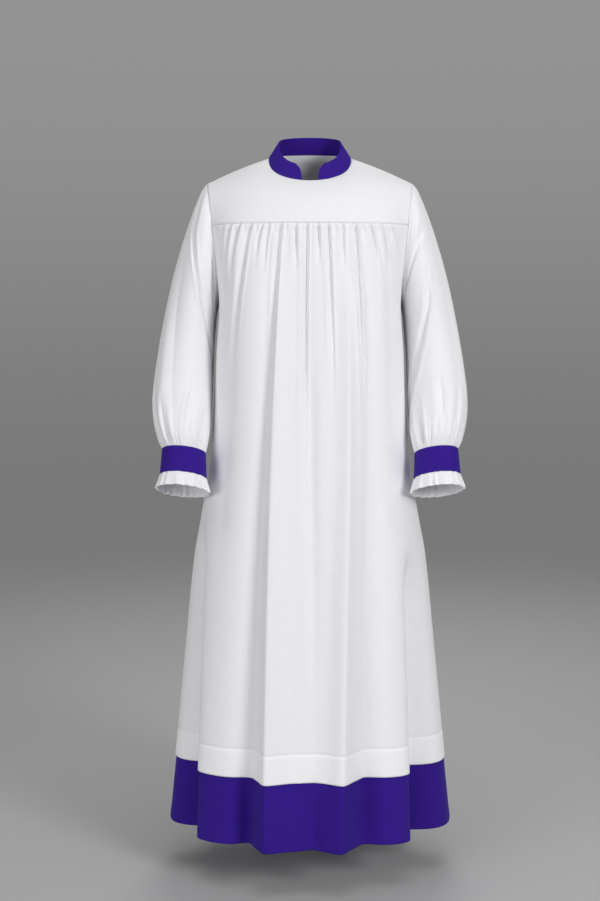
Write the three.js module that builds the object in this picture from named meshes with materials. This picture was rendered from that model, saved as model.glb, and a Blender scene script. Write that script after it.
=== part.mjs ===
import * as THREE from "three";

// A rochet: a full-length white linen gown gathered onto a yoke, with full sleeves gathered
// into deep cuffs, wrist frills, a standing collar and a coloured border below the hem.
// It hangs as it is worn, hollow and open at the neck, armholes, wrists and hem.
//
// Lengths are in millimetres and angles in degrees. +Z is up, the front faces -Y and +X is
// the wearer's left. The origin is the middle of the neck opening, level with the points
// where the shoulder seams meet the neck, because the gown hangs from there.

const CLOTH = 1.4; // wall of the body, yokes and sleeves
const BAND = 2.2; // wall of the collar and cuffs, which are several layers
const FRILL_CLOTH = 1.0;
const SEAM = 0.3; // clearance between two pieces that are sewn together
const TUCK = 4; // how far the body's gathered edge runs behind the yoke
const TUCK_LEAN = 1.6; // how much further in that edge lies, because the yoke leans back there

// --- Sizes of the cut -----------------------------------------------------------------

const neck = { halfWidth: 88, front: 78, back: 62, frontDrop: 56, backRise: 15, power: 0.8 };
const collarTop = { halfWidth: 66, front: 55, back: 50, frontZ: -21, sideZ: 34, backZ: 52, power: 0.75 };
const shoulder = { x: 219, y: 5, z: -54 };
const armhole = { bottomZ: -315, frontDepth: 82, backDepth: 84 };
const armholeAngles = [0, 18.75, 37.5, 56.25, 75, 92.5, 110, 127.5, 145, 162.5, 180];
const yoke = { steps: 4, columns: 28, hangAngle: 82 };
const NECK_PART = 0.5; // the part of a yoke's half width that meets the neck
const hem = { foldZ: -1213, bottomZ: -1269, borderTop: -1262, borderBottom: -1402 };

// How steeply a yoke leaves its upper edge: at the middle of the neck, where the shoulder seam
// meets the neck, and at the tip of the shoulder.
const yokeSlopes = { front: { neck: 34, side: 27, tip: 0 }, back: { neck: 20, side: 8, tip: 0 } };

// Half the width across the body at the armhole, and below it at the side seam.
const sideWidths = [
  { z: -54, x: 219 },
  { z: -150, x: 205 },
  { z: -235, x: 196 },
  { z: -315, x: 193 },
  { z: -411, x: 199 },
  { z: -520, x: 204 },
  { z: -620, x: 211 },
  { z: -700, x: 221 },
  { z: -780, x: 235 },
  { z: -841, x: 246 },
  { z: -1053, x: 267 },
  { z: -1269, x: 287 },
  { z: -1402, x: 300 },
];

// How far the front and the back stand from the middle of the body, and how square a section
// is: 2 is an ellipse and more is squarer.
const bodyDepths = [
  { z: -145, front: 140, back: 116, power: 2.7 },
  { z: -235, front: 150, back: 127, power: 3.1 },
  { z: -315, front: 157, back: 132, power: 3.2 },
  { z: -420, front: 163, back: 134, power: 2.95 },
  { z: -520, front: 168, back: 137, power: 2.7 },
  { z: -700, front: 178, back: 149, power: 2.4 },
  { z: -950, front: 193, back: 170, power: 2.3 },
  { z: -1213, front: 210, back: 194, power: 2.3 },
  { z: -1402, front: 222, back: 214, power: 2.3 },
];

// The levels at which a fold's path is given: yoke seam, chest, waist, knee and foot.
const foldLevels = [-150, -330, -600, -950, -1402];
const [SEAM_Z] = foldLevels;
const FOOT_Z = foldLevels[4];

// The large folds. "path" is a fold's distance from the middle at each of those levels,
// positive to the wearer's left. It starts at "from" and is gone at "to". Its depth grows
// from "top" to "bottom", and a negative depth is a ridge. "right" and "left" are the widths
// of its slopes at the foot, on the wearer's right and left.
const frontFolds = [
  { path: [-62, -80, -91, -109, -128], from: -150, to: -1600, top: 5, bottom: 15, right: 42, left: 14 },
  { path: [-54, -65, -75, -82, -88], from: -220, to: -1600, top: -2, bottom: -35, right: 17, left: 46 },
  { path: [36, 30, 18, 8, -5], from: -150, to: -1600, top: 2, bottom: -12, right: 34, left: 34 },
  { path: [66, 78, 76, 68, 58], from: -220, to: -1600, top: -2, bottom: -34, right: 31, left: 22 },
  { path: [95, 118, 120, 116, 112], from: -150, to: -1600, top: 3, bottom: 13, right: 17, left: 40 },
  { path: [-121, -153, -173, -190, -196], from: -150, to: -900, top: 3, bottom: 6, right: 40, left: 30 },
  { path: [-5, -8, 0, 6, 4], from: -150, to: -1150, top: 3, bottom: 9, right: 16, left: 30 },
  { path: [146, 165, 172, 176, 180], from: -150, to: -700, top: 3, bottom: 4, right: 26, left: 30 },
  { path: [-190, -200, -213, -240, -263], from: -760, to: -1700, top: 0, bottom: 62, right: 50, left: 25 },
  { path: [166, 174, 192, 216, 236], from: -800, to: -1700, top: 0, bottom: 60, right: 24, left: 56 },
];
const backFolds = [
  { path: [70, 88, 104, 124, 150], from: -150, to: -1600, top: 4, bottom: 25, right: 20, left: 44 },
  { path: [30, 36, 46, 66, 88], from: -220, to: -1600, top: -1, bottom: -17, right: 30, left: 22 },
  { path: [-12, -16, -8, 4, 14], from: -150, to: -1600, top: 3, bottom: 17, right: 28, left: 26 },
  { path: [-60, -66, -72, -74, -66], from: -220, to: -1600, top: -1, bottom: -18, right: 24, left: 30 },
  { path: [-98, -112, -124, -130, -138], from: -150, to: -1600, top: 3, bottom: 20, right: 40, left: 18 },
  { path: [128, 150, 168, 190, 200], from: -150, to: -850, top: 3, bottom: 6, right: 28, left: 34 },
  { path: [-150, -166, -176, -190, -196], from: -150, to: -760, top: 3, bottom: 5, right: 30, left: 26 },
  { path: [190, 200, 215, 232, 250], from: -780, to: -1700, top: 0, bottom: 34, right: 26, left: 44 },
  { path: [-190, -200, -212, -230, -246], from: -760, to: -1700, top: 0, bottom: 36, right: 46, left: 24 },
];

// The small gathers under the yoke. "waves" is how many the whole width could hold and "span"
// is the part of it that is gathered; each wave fades out at a length of its own.
const frontGathers = { waves: 32, span: 0.86, depth: 3.4, shortest: 50, longest: 112 };
const backGathers = { waves: 28, span: 0.84, depth: 3.6, shortest: 46, longest: 108 };
const COLUMNS_IN_WAVE = 3;

// Sections of the wearer's left sleeve, from under the shoulder to above the cuff. "outer" and
// "inner" are the ends of a section seen from the front, "y" is where its middle lies, "depth"
// is half its size from front to back, and "tilt" is how far its front edge is raised.
const sleeveSections = [
  { outerX: 234, outerZ: -76, innerX: 197, innerZ: -324, y: 4, depth: 89, tilt: 0 },
  { outerX: 262, outerZ: -152, innerX: 200, innerZ: -345, y: 0, depth: 91, tilt: 0 },
  { outerX: 290, outerZ: -250, innerX: 203, innerZ: -380, y: -5, depth: 87, tilt: 3 },
  { outerX: 312, outerZ: -356, innerX: 205, innerZ: -430, y: -14, depth: 81, tilt: 7 },
  { outerX: 326, outerZ: -450, innerX: 206, innerZ: -495, y: -30, depth: 77, tilt: 12 },
  { outerX: 331, outerZ: -515, innerX: 207, innerZ: -545, y: -48, depth: 74, tilt: 16 },
  { outerX: 327, outerZ: -561, innerX: 209, innerZ: -580, y: -67, depth: 67, tilt: 18 },
  { outerX: 317, outerZ: -595, innerX: 213, innerZ: -606, y: -84, depth: 56, tilt: 19.5 },
];
const FINE_SLEEVE_ROW = 7; // from this row down the sleeve has twice the columns

// Folds of a sleeve. "top" and "bottom" are the angles round the sleeve, 0 on the outside, 90
// in front and 180 against the body; "from" and "to" are rows of the table above.
const leftSleeveFolds = [
  { top: 48, bottom: 40, from: 0, to: 4, depth: 6, width: 13 },
  { top: 84, bottom: 70, from: 0, to: 5, depth: 7, width: 14 },
  { top: 122, bottom: 112, from: 0.4, to: 5.5, depth: 8, width: 13 },
  { top: 20, bottom: 62, from: 3, to: 8, depth: 5, width: 14 },
  { top: 100, bottom: 96, from: 4, to: 8, depth: 5, width: 11 },
  { top: 220, bottom: 230, from: 0.4, to: 5, depth: 8, width: 16 },
  { top: 262, bottom: 258, from: 0, to: 6, depth: 7, width: 14 },
  { top: 306, bottom: 300, from: 0, to: 4.5, depth: 6, width: 14 },
  { top: 330, bottom: 322, from: 4, to: 8, depth: 5, width: 13 },
];
const rightSleeveFolds = [
  { top: 52, bottom: 34, from: 0, to: 5, depth: 7, width: 12 },
  { top: 90, bottom: 74, from: 0, to: 3.6, depth: 6, width: 12 },
  { top: 118, bottom: 128, from: 0.4, to: 5, depth: 9, width: 13 },
  { top: 30, bottom: 52, from: 3, to: 8, depth: 6, width: 16 },
  { top: 86, bottom: 104, from: 4.5, to: 8, depth: 5, width: 12 },
  { top: 226, bottom: 236, from: 0.4, to: 4.5, depth: 7, width: 15 },
  { top: 268, bottom: 262, from: 0, to: 5.5, depth: 8, width: 15 },
  { top: 312, bottom: 304, from: 0, to: 5, depth: 6, width: 13 },
  { top: 338, bottom: 326, from: 4, to: 8, depth: 5, width: 14 },
];
const sleeveGathers = { count: 20, depth: 2.4, fromRow: 5.5 };

// The left cuff. Its axis runs down and forward; "top" and "bottom" are its two ends.
const cuff = {
  top: { halfWidth: 45.5, halfDepth: 42, x: 261.5, y: -95, z: -620 },
  bottom: { halfWidth: 48.5, halfDepth: 44.5, x: 261.5, y: -114, z: -671 },
  rise: 4, // the outer end of a cuff section stands this much above its middle
  tilt: 20.5,
  columns: 32,
};
const frill = { drop: 30, flare: 5.5, waves: 18, depthTop: 1.4, depthBottom: 3.8, columns: 72 };

// The slit between the collar's two front ends: half its width at each part of the height.
const collarNotch = [
  { up: 0, x: 16.3 },
  { up: 0.35, x: 17.8 },
  { up: 0.7, x: 20.5 },
  { up: 1, x: 30 },
];

// --- Small tools ----------------------------------------------------------------------

const { lerp, clamp, degToRad, smoothstep } = THREE.MathUtils;

/** A smooth function through one column of a table, by another column that only rises or falls. */
function column(table, key, name) {
  const rows = [...table].sort((a, b) => a[key] - b[key]);
  const slope = (i, j) => (rows[j][name] - rows[i][name]) / (rows[j][key] - rows[i][key]);
  const tangents = rows.map((_, i) => {
    if (i === 0) return slope(0, 1);
    if (i === rows.length - 1) return slope(i - 1, i);
    const before = slope(i - 1, i);
    const after = slope(i, i + 1);
    return before * after <= 0 ? 0 : (2 * before * after) / (before + after);
  });
  return (value) => {
    const at = clamp(value, rows[0][key], rows[rows.length - 1][key]);
    let i = 0;
    while (i < rows.length - 2 && at > rows[i + 1][key]) i += 1;
    const width = rows[i + 1][key] - rows[i][key];
    const t = (at - rows[i][key]) / width;
    const t2 = t * t;
    const t3 = t2 * t;
    const level = (1 - 3 * t2 + 2 * t3) * rows[i][name] + (3 * t2 - 2 * t3) * rows[i + 1][name];
    return level + (t3 - 2 * t2 + t) * width * tangents[i] + (t3 - t2) * width * tangents[i + 1];
  };
}

/** Triangles between an upper and a lower row of points, of equal or of doubled number. */
function stitch(upper, lower) {
  const triangles = [];
  const cells = Math.min(upper.length, lower.length) - 1;
  for (let j = 0; j < cells; j += 1) {
    if (upper.length === lower.length) {
      triangles.push([upper[j], lower[j], upper[j + 1]], [upper[j + 1], lower[j], lower[j + 1]]);
    } else if (upper.length > lower.length) {
      const [a, b, c] = [upper[2 * j], upper[2 * j + 1], upper[2 * j + 2]];
      triangles.push([a, lower[j], b], [b, lower[j], lower[j + 1]], [b, lower[j + 1], c]);
    } else {
      const [a, b, c] = [lower[2 * j], lower[2 * j + 1], lower[2 * j + 2]];
      triangles.push([upper[j], a, b], [upper[j], b, upper[j + 1]], [upper[j + 1], b, c]);
    }
  }
  return triangles;
}

/** The mean direction that the triangles round each point face. */
function facing(points, triangles) {
  const normals = points.map(() => new THREE.Vector3());
  for (const [a, b, c] of triangles) {
    const across = points[b].clone().sub(points[a]);
    const area = across.cross(points[c].clone().sub(points[a]));
    for (const corner of [a, b, c]) normals[corner].add(area);
  }
  return normals.map((normal) => normal.normalize());
}

/**
 * A cloth wall as one closed body. "rows" holds rows of outer points from top to bottom; seen
 * from outside, a row runs to the right. A ring's rows close on themselves. "turn" may change
 * the direction in which a point of the outer face is moved to make the inner face.
 */
function clothWall(rows, thickness, { ring = false, turn = null } = {}) {
  const points = rows.flat();
  let start = 0;
  const indices = rows.map((row) => {
    const numbers = row.map((_, j) => start + j);
    start += row.length;
    return ring ? [...numbers, numbers[0]] : numbers;
  });
  const outer = indices.slice(1).flatMap((lower, i) => stitch(indices[i], lower));
  const normals = facing(points, outer);
  if (turn) {
    rows.forEach((row, i) => row.forEach((_, j) => turn(normals[indices[i][j]], i, j, row)));
  }
  const count = points.length;
  const inner = points.map((point, i) => point.clone().addScaledVector(normals[i], -thickness));
  const edges = new Set(outer.flatMap(([a, b, c]) => [`${a} ${b}`, `${b} ${c}`, `${c} ${a}`]));
  const faces = outer.flatMap(([a, b, c]) => [a, b, c, c + count, b + count, a + count]);
  for (const edge of edges) {
    const [a, b] = edge.split(" ").map(Number);
    if (!edges.has(`${b} ${a}`)) faces.push(b, a, a + count, b, a + count, b + count);
  }
  const geometry = new THREE.BufferGeometry().setFromPoints([...points, ...inner]);
  geometry.setIndex(faces);
  return geometry;
}

// --- The body's shape -----------------------------------------------------------------

const sideWidth = column(sideWidths, "z", "x");
const sectionPower = column(bodyDepths, "z", "power");
const armholeMiddle = (shoulder.z + armhole.bottomZ) / 2;
const armholeHalf = (shoulder.z - armhole.bottomZ) / 2;
const front = {
  sign: -1,
  reach: column(bodyDepths, "z", "front"),
  armholeDepth: armhole.frontDepth,
  folds: frontFolds,
  gathers: frontGathers,
  yokeSlope: yokeSlopes.front,
};
const back = {
  sign: 1,
  reach: column(bodyDepths, "z", "back"),
  armholeDepth: armhole.backDepth,
  folds: backFolds,
  gathers: backGathers,
  yokeSlope: yokeSlopes.back,
};

/** A corner of the left armhole on one face of the gown, by its angle from the shoulder. */
function armholeCorner(face, angle) {
  const turn = degToRad(angle);
  const z = armholeMiddle + armholeHalf * Math.cos(turn);
  return new THREE.Vector3(sideWidth(z), shoulder.y + face.sign * face.armholeDepth * Math.sin(turn), z);
}

/** The left edge of the body at a level: the armhole's edge, or the side seam under it. */
function bodyEdge(face, z) {
  if (z <= armhole.bottomZ) return new THREE.Vector3(sideWidth(z), shoulder.y, z);
  const corners = armholeAngles.map((angle) => armholeCorner(face, angle));
  const next = clamp(corners.findIndex((corner) => corner.z <= z), 1, corners.length - 1);
  const above = corners[next - 1];
  const below = corners[next];
  return above.clone().lerp(below, (above.z - z) / (above.z - below.z));
}

/** The smooth section of one face at a level, with the length run from the middle. */
function bodySection(face, z) {
  const samples = 96;
  const edge = bodyEdge(face, z);
  const span = face.reach(z) - face.sign * shoulder.y;
  const part = clamp((face.sign * (edge.y - shoulder.y)) / span, 0, 0.98);
  const power = sectionPower(z);
  const edgeTurn = Math.acos(part ** (power / 2));
  const fullWidth = edge.x / Math.sin(edgeTurn) ** (2 / power);
  const points = [];
  let run = 0;
  for (let i = 0; i <= samples; i += 1) {
    const turn = edgeTurn * (i / samples) ** 1.15;
    const x = fullWidth * Math.sin(turn) ** (2 / power);
    const y = shoulder.y + face.sign * span * Math.cos(turn) ** (2 / power);
    if (i > 0) run += Math.hypot(x - points[i - 1].x, y - points[i - 1].y);
    points.push({ x, y, run });
  }
  return points;
}

/** Where a section is at a value of its x or of its run, on the left half. */
function along(section, name, value) {
  const next = section.findIndex((point) => point[name] >= value);
  if (next === 0) return section[0];
  const last = section.length - 1;
  const below = section[next < 0 ? last - 1 : next - 1];
  const above = section[next < 0 ? last : next];
  const t = (value - below[name]) / (above[name] - below[name]);
  return {
    x: lerp(below.x, above.x, t),
    y: lerp(below.y, above.y, t),
    run: lerp(below.run, above.run, t),
  };
}

/** The line of a fold at a level, as a distance from the middle. */
function foldPath(fold, z) {
  const points = foldLevels.map((level, i) => ({ z: level, x: fold.path[i] }));
  return column(points, "z", "x")(z);
}

/** How far the large folds press the cloth in, at a run from the middle and a level. */
function foldDepth(face, section, run, z) {
  const down = clamp((SEAM_Z - z) / (SEAM_Z - FOOT_Z), 0, 1);
  const spread = lerp(0.42, 1, down);
  let depth = 0;
  for (const fold of face.folds) {
    const x = foldPath(fold, z);
    const middle = Math.sign(x) * along(section, "x", Math.abs(x)).run;
    const width = spread * (run < middle ? fold.right : fold.left);
    const shape = Math.exp(-(Math.abs((run - middle) / width) ** 1.8));
    const starts = smoothstep(fold.from - z, 0, 130);
    const lasts = 1 - smoothstep(fold.to + 260 - z, 0, 260);
    depth += lerp(fold.top, fold.bottom, down) * shape * starts * lasts;
  }
  return depth;
}

/** The height of the small gathers at a part of the half width, each with its own length. */
function gatherHeight({ waves, span, depth, shortest, longest }, part, z) {
  const wave = (part * waves) / 2;
  const uneven = 0.5 + 0.5 * Math.sin(2.4 * Math.round(wave));
  const fall = (SEAM_Z - z) / lerp(shortest, longest, uneven);
  const fades = smoothstep(fall, 0.02, 0.12) * (1 - smoothstep(fall, 0.3, 1));
  const within = 1 - smoothstep(Math.abs(part), span - 0.05, span);
  return depth * Math.cos(2 * Math.PI * wave) * fades * within * lerp(0.7, 1, uneven);
}

/** A level row moved into the body by a distance, square to the row's own folds. */
function movedIn(row, distance) {
  return row.map((point, j) => {
    const next = row[Math.min(j + 1, row.length - 1)];
    const last = row[Math.max(j - 1, 0)];
    const inwards = new THREE.Vector3(last.y - next.y, next.x - last.x, 0).normalize();
    return point.clone().addScaledVector(inwards, distance);
  });
}

/** One row of a body panel, in even steps to the right as seen from outside. */
function bodyRow(face, z, columns) {
  const section = bodySection(face, z);
  const half = section[section.length - 1].run;
  const row = [];
  for (let j = 0; j <= columns; j += 1) {
    const run = lerp(-half, half, j / columns);
    const side = Math.sign(run);
    const here = along(section, "run", Math.abs(run));
    const before = along(section, "run", Math.max(Math.abs(run) - 1, 0));
    const after = along(section, "run", Math.min(Math.abs(run) + 1, half));
    const outwards = new THREE.Vector2(-face.sign * (after.y - before.y), face.sign * (after.x - before.x));
    outwards.normalize();
    const edgeHold = smoothstep(half - Math.abs(run), 0, 26);
    const relief = gatherHeight(face.gathers, run / half, z) - foldDepth(face, section, run, z);
    const out = relief * edgeHold;
    const outX = side * Math.abs(outwards.x) * out;
    row.push(new THREE.Vector3(side * here.x + outX, here.y + outwards.y * out, z));
  }
  return face.sign < 0 ? row : row.reverse();
}

/** Moves a panel's outer edges off the middle of the side seam. */
function openSideSeam(rows, face) {
  for (const row of rows) {
    for (const point of [row[0], row[row.length - 1]]) {
      if (point.z <= armhole.bottomZ + 1) point.y += (face.sign * SEAM) / 2;
    }
  }
  return rows;
}

/** Keeps a panel's rim square: flat on the ground plane above and below, flat at the side. */
function squareRims(rowCount, sideFrom) {
  return (normal, i, j, row) => {
    if (i === 0 || i === rowCount - 1) normal.z = 0;
    if ((j === 0 || j === row.length - 1) && i >= sideFrom) normal.set(Math.sign(row[j].x), 0, 0);
    normal.normalize();
  };
}

/** A body panel from behind the yoke to the hem, with fine columns through the gathers. */
function bodyPanel(face) {
  const fineColumns = COLUMNS_IN_WAVE * face.gathers.waves;
  const behind = CLOTH + SEAM;
  const armholeLevels = armholeAngles.slice(5).map((angle) => armholeCorner(face, angle).z);
  const fine = [
    movedIn(bodyRow(face, SEAM_Z + TUCK, fineColumns), behind + TUCK_LEAN),
    movedIn(bodyRow(face, SEAM_Z - 2, fineColumns), behind),
    bodyRow(face, SEAM_Z - 12, fineColumns),
    ...armholeLevels.slice(0, 2).map((z) => bodyRow(face, z, fineColumns)),
  ];
  const lowerLevels = [...armholeLevels.slice(2), -420, -560, -740, -950, hem.foldZ, hem.bottomZ];
  const coarse = lowerLevels.map((z) => bodyRow(face, z, fineColumns / 2));
  const rows = openSideSeam([...fine, ...coarse], face);
  const sideFrom = fine.length + armholeLevels.length - 3;
  return clothWall(rows, CLOTH, { turn: squareRims(rows.length, sideFrom) });
}

/** The coloured border, whose top edge is sewn behind the hem. */
function borderPanel(face) {
  const columns = (COLUMNS_IN_WAVE * face.gathers.waves) / 2;
  const behind = CLOTH + 4 * SEAM;
  const levels = [hem.borderTop, hem.bottomZ, hem.borderBottom];
  const rows = levels.map((z) => movedIn(bodyRow(face, z, columns), behind));
  return clothWall(openSideSeam(rows, face), CLOTH, { turn: squareRims(rows.length, 0) });
}

// --- Yokes and collar -----------------------------------------------------------------

/** A point of the neck seam; the angle is 0 at the middle of the face and 90 at the side. */
function neckPoint(face, angle) {
  const turn = degToRad(angle);
  const reach = face.sign < 0 ? neck.front : neck.back;
  const rise = face.sign < 0 ? -neck.frontDrop : neck.backRise;
  const across = Math.max(Math.cos(turn), 0);
  return new THREE.Vector3(
    neck.halfWidth * Math.sin(turn),
    face.sign * reach * across,
    rise * across ** neck.power,
  );
}

/** The upper edge of a yoke: round the neck up to NECK_PART of the way, then to the shoulder. */
function yokeTop(face, part) {
  if (part <= NECK_PART) return neckPoint(face, (90 * part) / NECK_PART);
  const t = (part - NECK_PART) / (1 - NECK_PART);
  const sag = 3 * Math.sin(Math.PI * t);
  return new THREE.Vector3(
    lerp(neck.halfWidth, shoulder.x, t),
    lerp(0, shoulder.y, t) + (face.sign * SEAM) / 2,
    lerp(0, shoulder.z, t) + sag,
  );
}

/** A row of points evened out between its two ends, which stay where they are. */
function evened(row, passes) {
  if (passes === 0) return row;
  const softer = row.map((point, j) => {
    if (j === 0 || j === row.length - 1) return point;
    return point.clone().multiplyScalar(2).add(row[j - 1]).add(row[j + 1]).divideScalar(4);
  });
  return evened(softer, passes - 1);
}

/** A yoke, curving from the neck and shoulder over the chest or the shoulder blades. */
function yokePanel(face) {
  const section = bodySection(face, armholeCorner(face, armholeAngles[yoke.steps]).z);
  const half = section[section.length - 1].run;
  const rows = [];
  for (let i = 0; i <= yoke.steps; i += 1) {
    const row = [];
    for (let j = 0; j <= yoke.columns; j += 1) {
      const part = Math.abs((2 * j) / yoke.columns - 1);
      const side = Math.sign(2 * j - yoke.columns);
      const top = yokeTop(face, part);
      const foot = along(section, "run", half * part);
      const { neck: atNeck, side: atSide, tip } = face.yokeSlope;
      const toShoulder = (part - NECK_PART) / (1 - NECK_PART);
      const slope = toShoulder < 0 ? lerp(atSide, atNeck, -toShoulder) : lerp(atSide, tip, toShoulder);
      const first = degToRad(slope);
      const last = degToRad(lerp(yoke.hangAngle, armholeAngles[yoke.steps], part));
      const turn = lerp(first, last, i / yoke.steps);
      const fall = (Math.cos(first) - Math.cos(turn)) / (Math.cos(first) - Math.cos(last));
      const reach = (Math.sin(turn) - Math.sin(first)) / (Math.sin(last) - Math.sin(first));
      const point = new THREE.Vector3(lerp(top.x, foot.x, fall), lerp(top.y, foot.y, reach), 0);
      point.z = lerp(top.z, SEAM_Z, fall);
      if (part === 1) point.copy(armholeCorner(face, armholeAngles[i]));
      if (part === 1 && i === 0) point.y += (face.sign * SEAM) / 2;
      if (part === 1 && i === yoke.steps) point.z = SEAM_Z;
      point.x *= part === 0 ? 0 : side;
      row.push(point);
    }
    const inside = i > 0 && i < yoke.steps;
    rows.push(evened(face.sign < 0 ? row : row.reverse(), inside ? 6 : 0));
  }
  const turn = (normal, i, j) => {
    const part = Math.abs((2 * j) / yoke.columns - 1);
    if (i === 0 && part >= NECK_PART) normal.y = 0;
    if (i === yoke.steps) normal.z = 0;
    normal.normalize();
  };
  return clothWall(rows, CLOTH, { turn });
}

/** The standing collar, open at the front, from the neck seam up and inwards. */
function collar() {
  const notch = column(collarNotch, "up", "x");
  const quarter = (NECK_PART * yoke.columns) / 2;
  const columns = 4 * quarter;
  const steps = 3;
  const baseTurn = Math.asin(notch(0) / neck.halfWidth);
  const rows = [];
  for (let i = 0; i <= steps; i += 1) {
    const up = 1 - i / steps;
    const halfWidth = lerp(neck.halfWidth, collarTop.halfWidth, up);
    const firstTurn = Math.asin(notch(up) / halfWidth);
    const row = [];
    for (let j = 0; j <= columns; j += 1) {
      const even = clamp((2 * Math.PI * j) / columns, baseTurn, 2 * Math.PI - baseTurn);
      const behind = (even - Math.PI) / (Math.PI - baseTurn);
      const turn = Math.PI + behind * (Math.PI - firstTurn);
      const inFront = Math.cos(turn) > 0;
      const across = Math.abs(Math.cos(turn));
      const face = inFront ? front : back;
      const base = neckPoint(face, 90);
      const rise = inFront ? -neck.frontDrop : neck.backRise;
      const topReach = inFront ? collarTop.front : collarTop.back;
      const topEnd = inFront ? collarTop.frontZ : collarTop.backZ;
      const baseReach = inFront ? neck.front : neck.back;
      const baseZ = base.z + rise * across ** neck.power + SEAM;
      const topZ = lerp(collarTop.sideZ, topEnd, across ** collarTop.power);
      row.push(new THREE.Vector3(
        halfWidth * Math.sin(turn),
        face.sign * lerp(baseReach, topReach, up) * across,
        lerp(baseZ, topZ, up),
      ));
    }
    rows.push(row);
  }
  return clothWall(rows, BAND);
}

// --- Sleeves, cuffs and frills --------------------------------------------------------

/** A point of a section: its middle, half its width, half its depth and an angle round it. */
function ringPoint({ middle, wide, deep }, angle) {
  const turn = degToRad(angle);
  return middle.clone().addScaledVector(wide, Math.cos(turn)).addScaledVector(deep, Math.sin(turn));
}

/** The section of a left cuff at a distance down its axis, made smaller by "inset". */
function cuffSection(distance, inset) {
  const topMiddle = new THREE.Vector3(cuff.top.x, cuff.top.y, cuff.top.z);
  const bottomMiddle = new THREE.Vector3(cuff.bottom.x, cuff.bottom.y, cuff.bottom.z);
  const length = topMiddle.distanceTo(bottomMiddle);
  const down = distance / length;
  const wide = new THREE.Vector3(cuff.top.halfWidth, 0, cuff.rise).normalize();
  const tilt = degToRad(cuff.tilt);
  const deep = new THREE.Vector3(0, -Math.cos(tilt), Math.sin(tilt));
  wide.multiplyScalar(lerp(cuff.top.halfWidth, cuff.bottom.halfWidth, down) - inset);
  deep.multiplyScalar(lerp(cuff.top.halfDepth, cuff.bottom.halfDepth, down) - inset);
  return { middle: topMiddle.lerp(bottomMiddle, down), wide, deep, length };
}
const CUFF_LENGTH = cuffSection(0, 0).length;

/** Turns a direction so that it lies in the plane of a cuff's sections. */
function squareToCuff(normal, side) {
  const { wide, deep } = cuffSection(0, 0);
  const axis = deep.clone().cross(wide).normalize();
  axis.x *= side;
  return normal.addScaledVector(axis, -normal.dot(axis)).normalize();
}

/** The section of a left sleeve for one row of its table. */
function sleeveSection({ outerX, outerZ, innerX, innerZ, y, depth, tilt }) {
  const outer = new THREE.Vector3(outerX, y, outerZ);
  const inner = new THREE.Vector3(innerX, y, innerZ);
  const turn = degToRad(tilt);
  return {
    middle: outer.clone().lerp(inner, 0.5),
    wide: outer.clone().sub(inner).multiplyScalar(0.5),
    deep: new THREE.Vector3(0, -Math.cos(turn), Math.sin(turn)).multiplyScalar(depth),
  };
}

/** Angles round a sleeve that meet the corners of the armhole, with the gaps split in two. */
function sleeveAngles(splits) {
  const down = armholeAngles.slice(0, -1);
  const up = armholeAngles.slice(1).reverse().map((angle) => 360 - angle);
  let angles = [...down, ...up];
  for (let i = 0; i < splits; i += 1) {
    angles = angles.flatMap((angle, j) => [angle, (angle + (angles[j + 1] ?? 360)) / 2]);
  }
  return angles;
}

/** The top edge of a left sleeve, along the armhole's straight stretches. */
function sleeveTop(angle) {
  const face = angle <= 180 ? front : back;
  const own = angle <= 180 ? angle : 360 - angle;
  const next = clamp(armholeAngles.findIndex((corner) => corner >= own), 1, armholeAngles.length - 1);
  const [low, high] = [armholeAngles[next - 1], armholeAngles[next]];
  const point = armholeCorner(face, low).lerp(armholeCorner(face, high), (own - low) / (high - low));
  point.x += SEAM;
  return point;
}

/** How far the folds and gathers move the cloth of a sleeve outwards. */
function sleeveRelief(folds, row, angle) {
  let relief = 0;
  for (const fold of folds) {
    const t = clamp((row - fold.from) / (fold.to - fold.from), 0, 1);
    const gap = Math.abs(((angle - lerp(fold.top, fold.bottom, t) + 540) % 360) - 180);
    relief -= fold.depth * Math.sin(Math.PI * t) * Math.exp(-((gap / fold.width) ** 1.8));
  }
  const gathered = smoothstep(row, sleeveGathers.fromRow, 8);
  const wave = Math.cos(degToRad(angle * sleeveGathers.count));
  return relief + sleeveGathers.depth * gathered * wave;
}

/** Mirrors a left-hand row for the right, and keeps it running to the right from outside. */
function forSide(side, row) {
  if (side < 0) return row.map((point) => point.setX(-point.x));
  return [row[0], ...row.slice(1).reverse()];
}

function sleeve(side, folds) {
  const rings = sleeveSections.map(sleeveSection);
  rings.push(cuffSection(-SEAM, 0.9));
  const rows = [sleeveAngles(1).map(sleeveTop)];
  rings.forEach((ring, i) => {
    const row = i + 1;
    const angles = sleeveAngles(row >= FINE_SLEEVE_ROW ? 2 : 1);
    const hold = row === rings.length ? 0.3 : 1;
    rows.push(angles.map((angle) => {
      const point = ringPoint(ring, angle);
      const outwards = point.clone().sub(ring.middle).normalize();
      return point.addScaledVector(outwards, hold * sleeveRelief(folds, row, angle));
    }));
  });
  const angles = side < 0 ? sleeveAngles(1) : [0, ...sleeveAngles(1).slice(1).reverse()];
  const turn = (normal, i, j) => {
    if (i === rings.length) squareToCuff(normal, side);
    if (i > 0) return;
    const own = degToRad(angles[j]);
    const top = Math.max(Math.cos(own), 0) ** 0.5;
    const yokeFacing = new THREE.Vector3(side * 0.38, -0.92 * Math.sin(own), 0.92 * Math.cos(own));
    normal.lerp(yokeFacing, top).normalize();
  };
  return clothWall(rows.map((row) => forSide(side, row)), CLOTH, { ring: true, turn });
}

function evenAngles(count) {
  return Array.from({ length: count }, (_, j) => (360 * j) / count);
}

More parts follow.
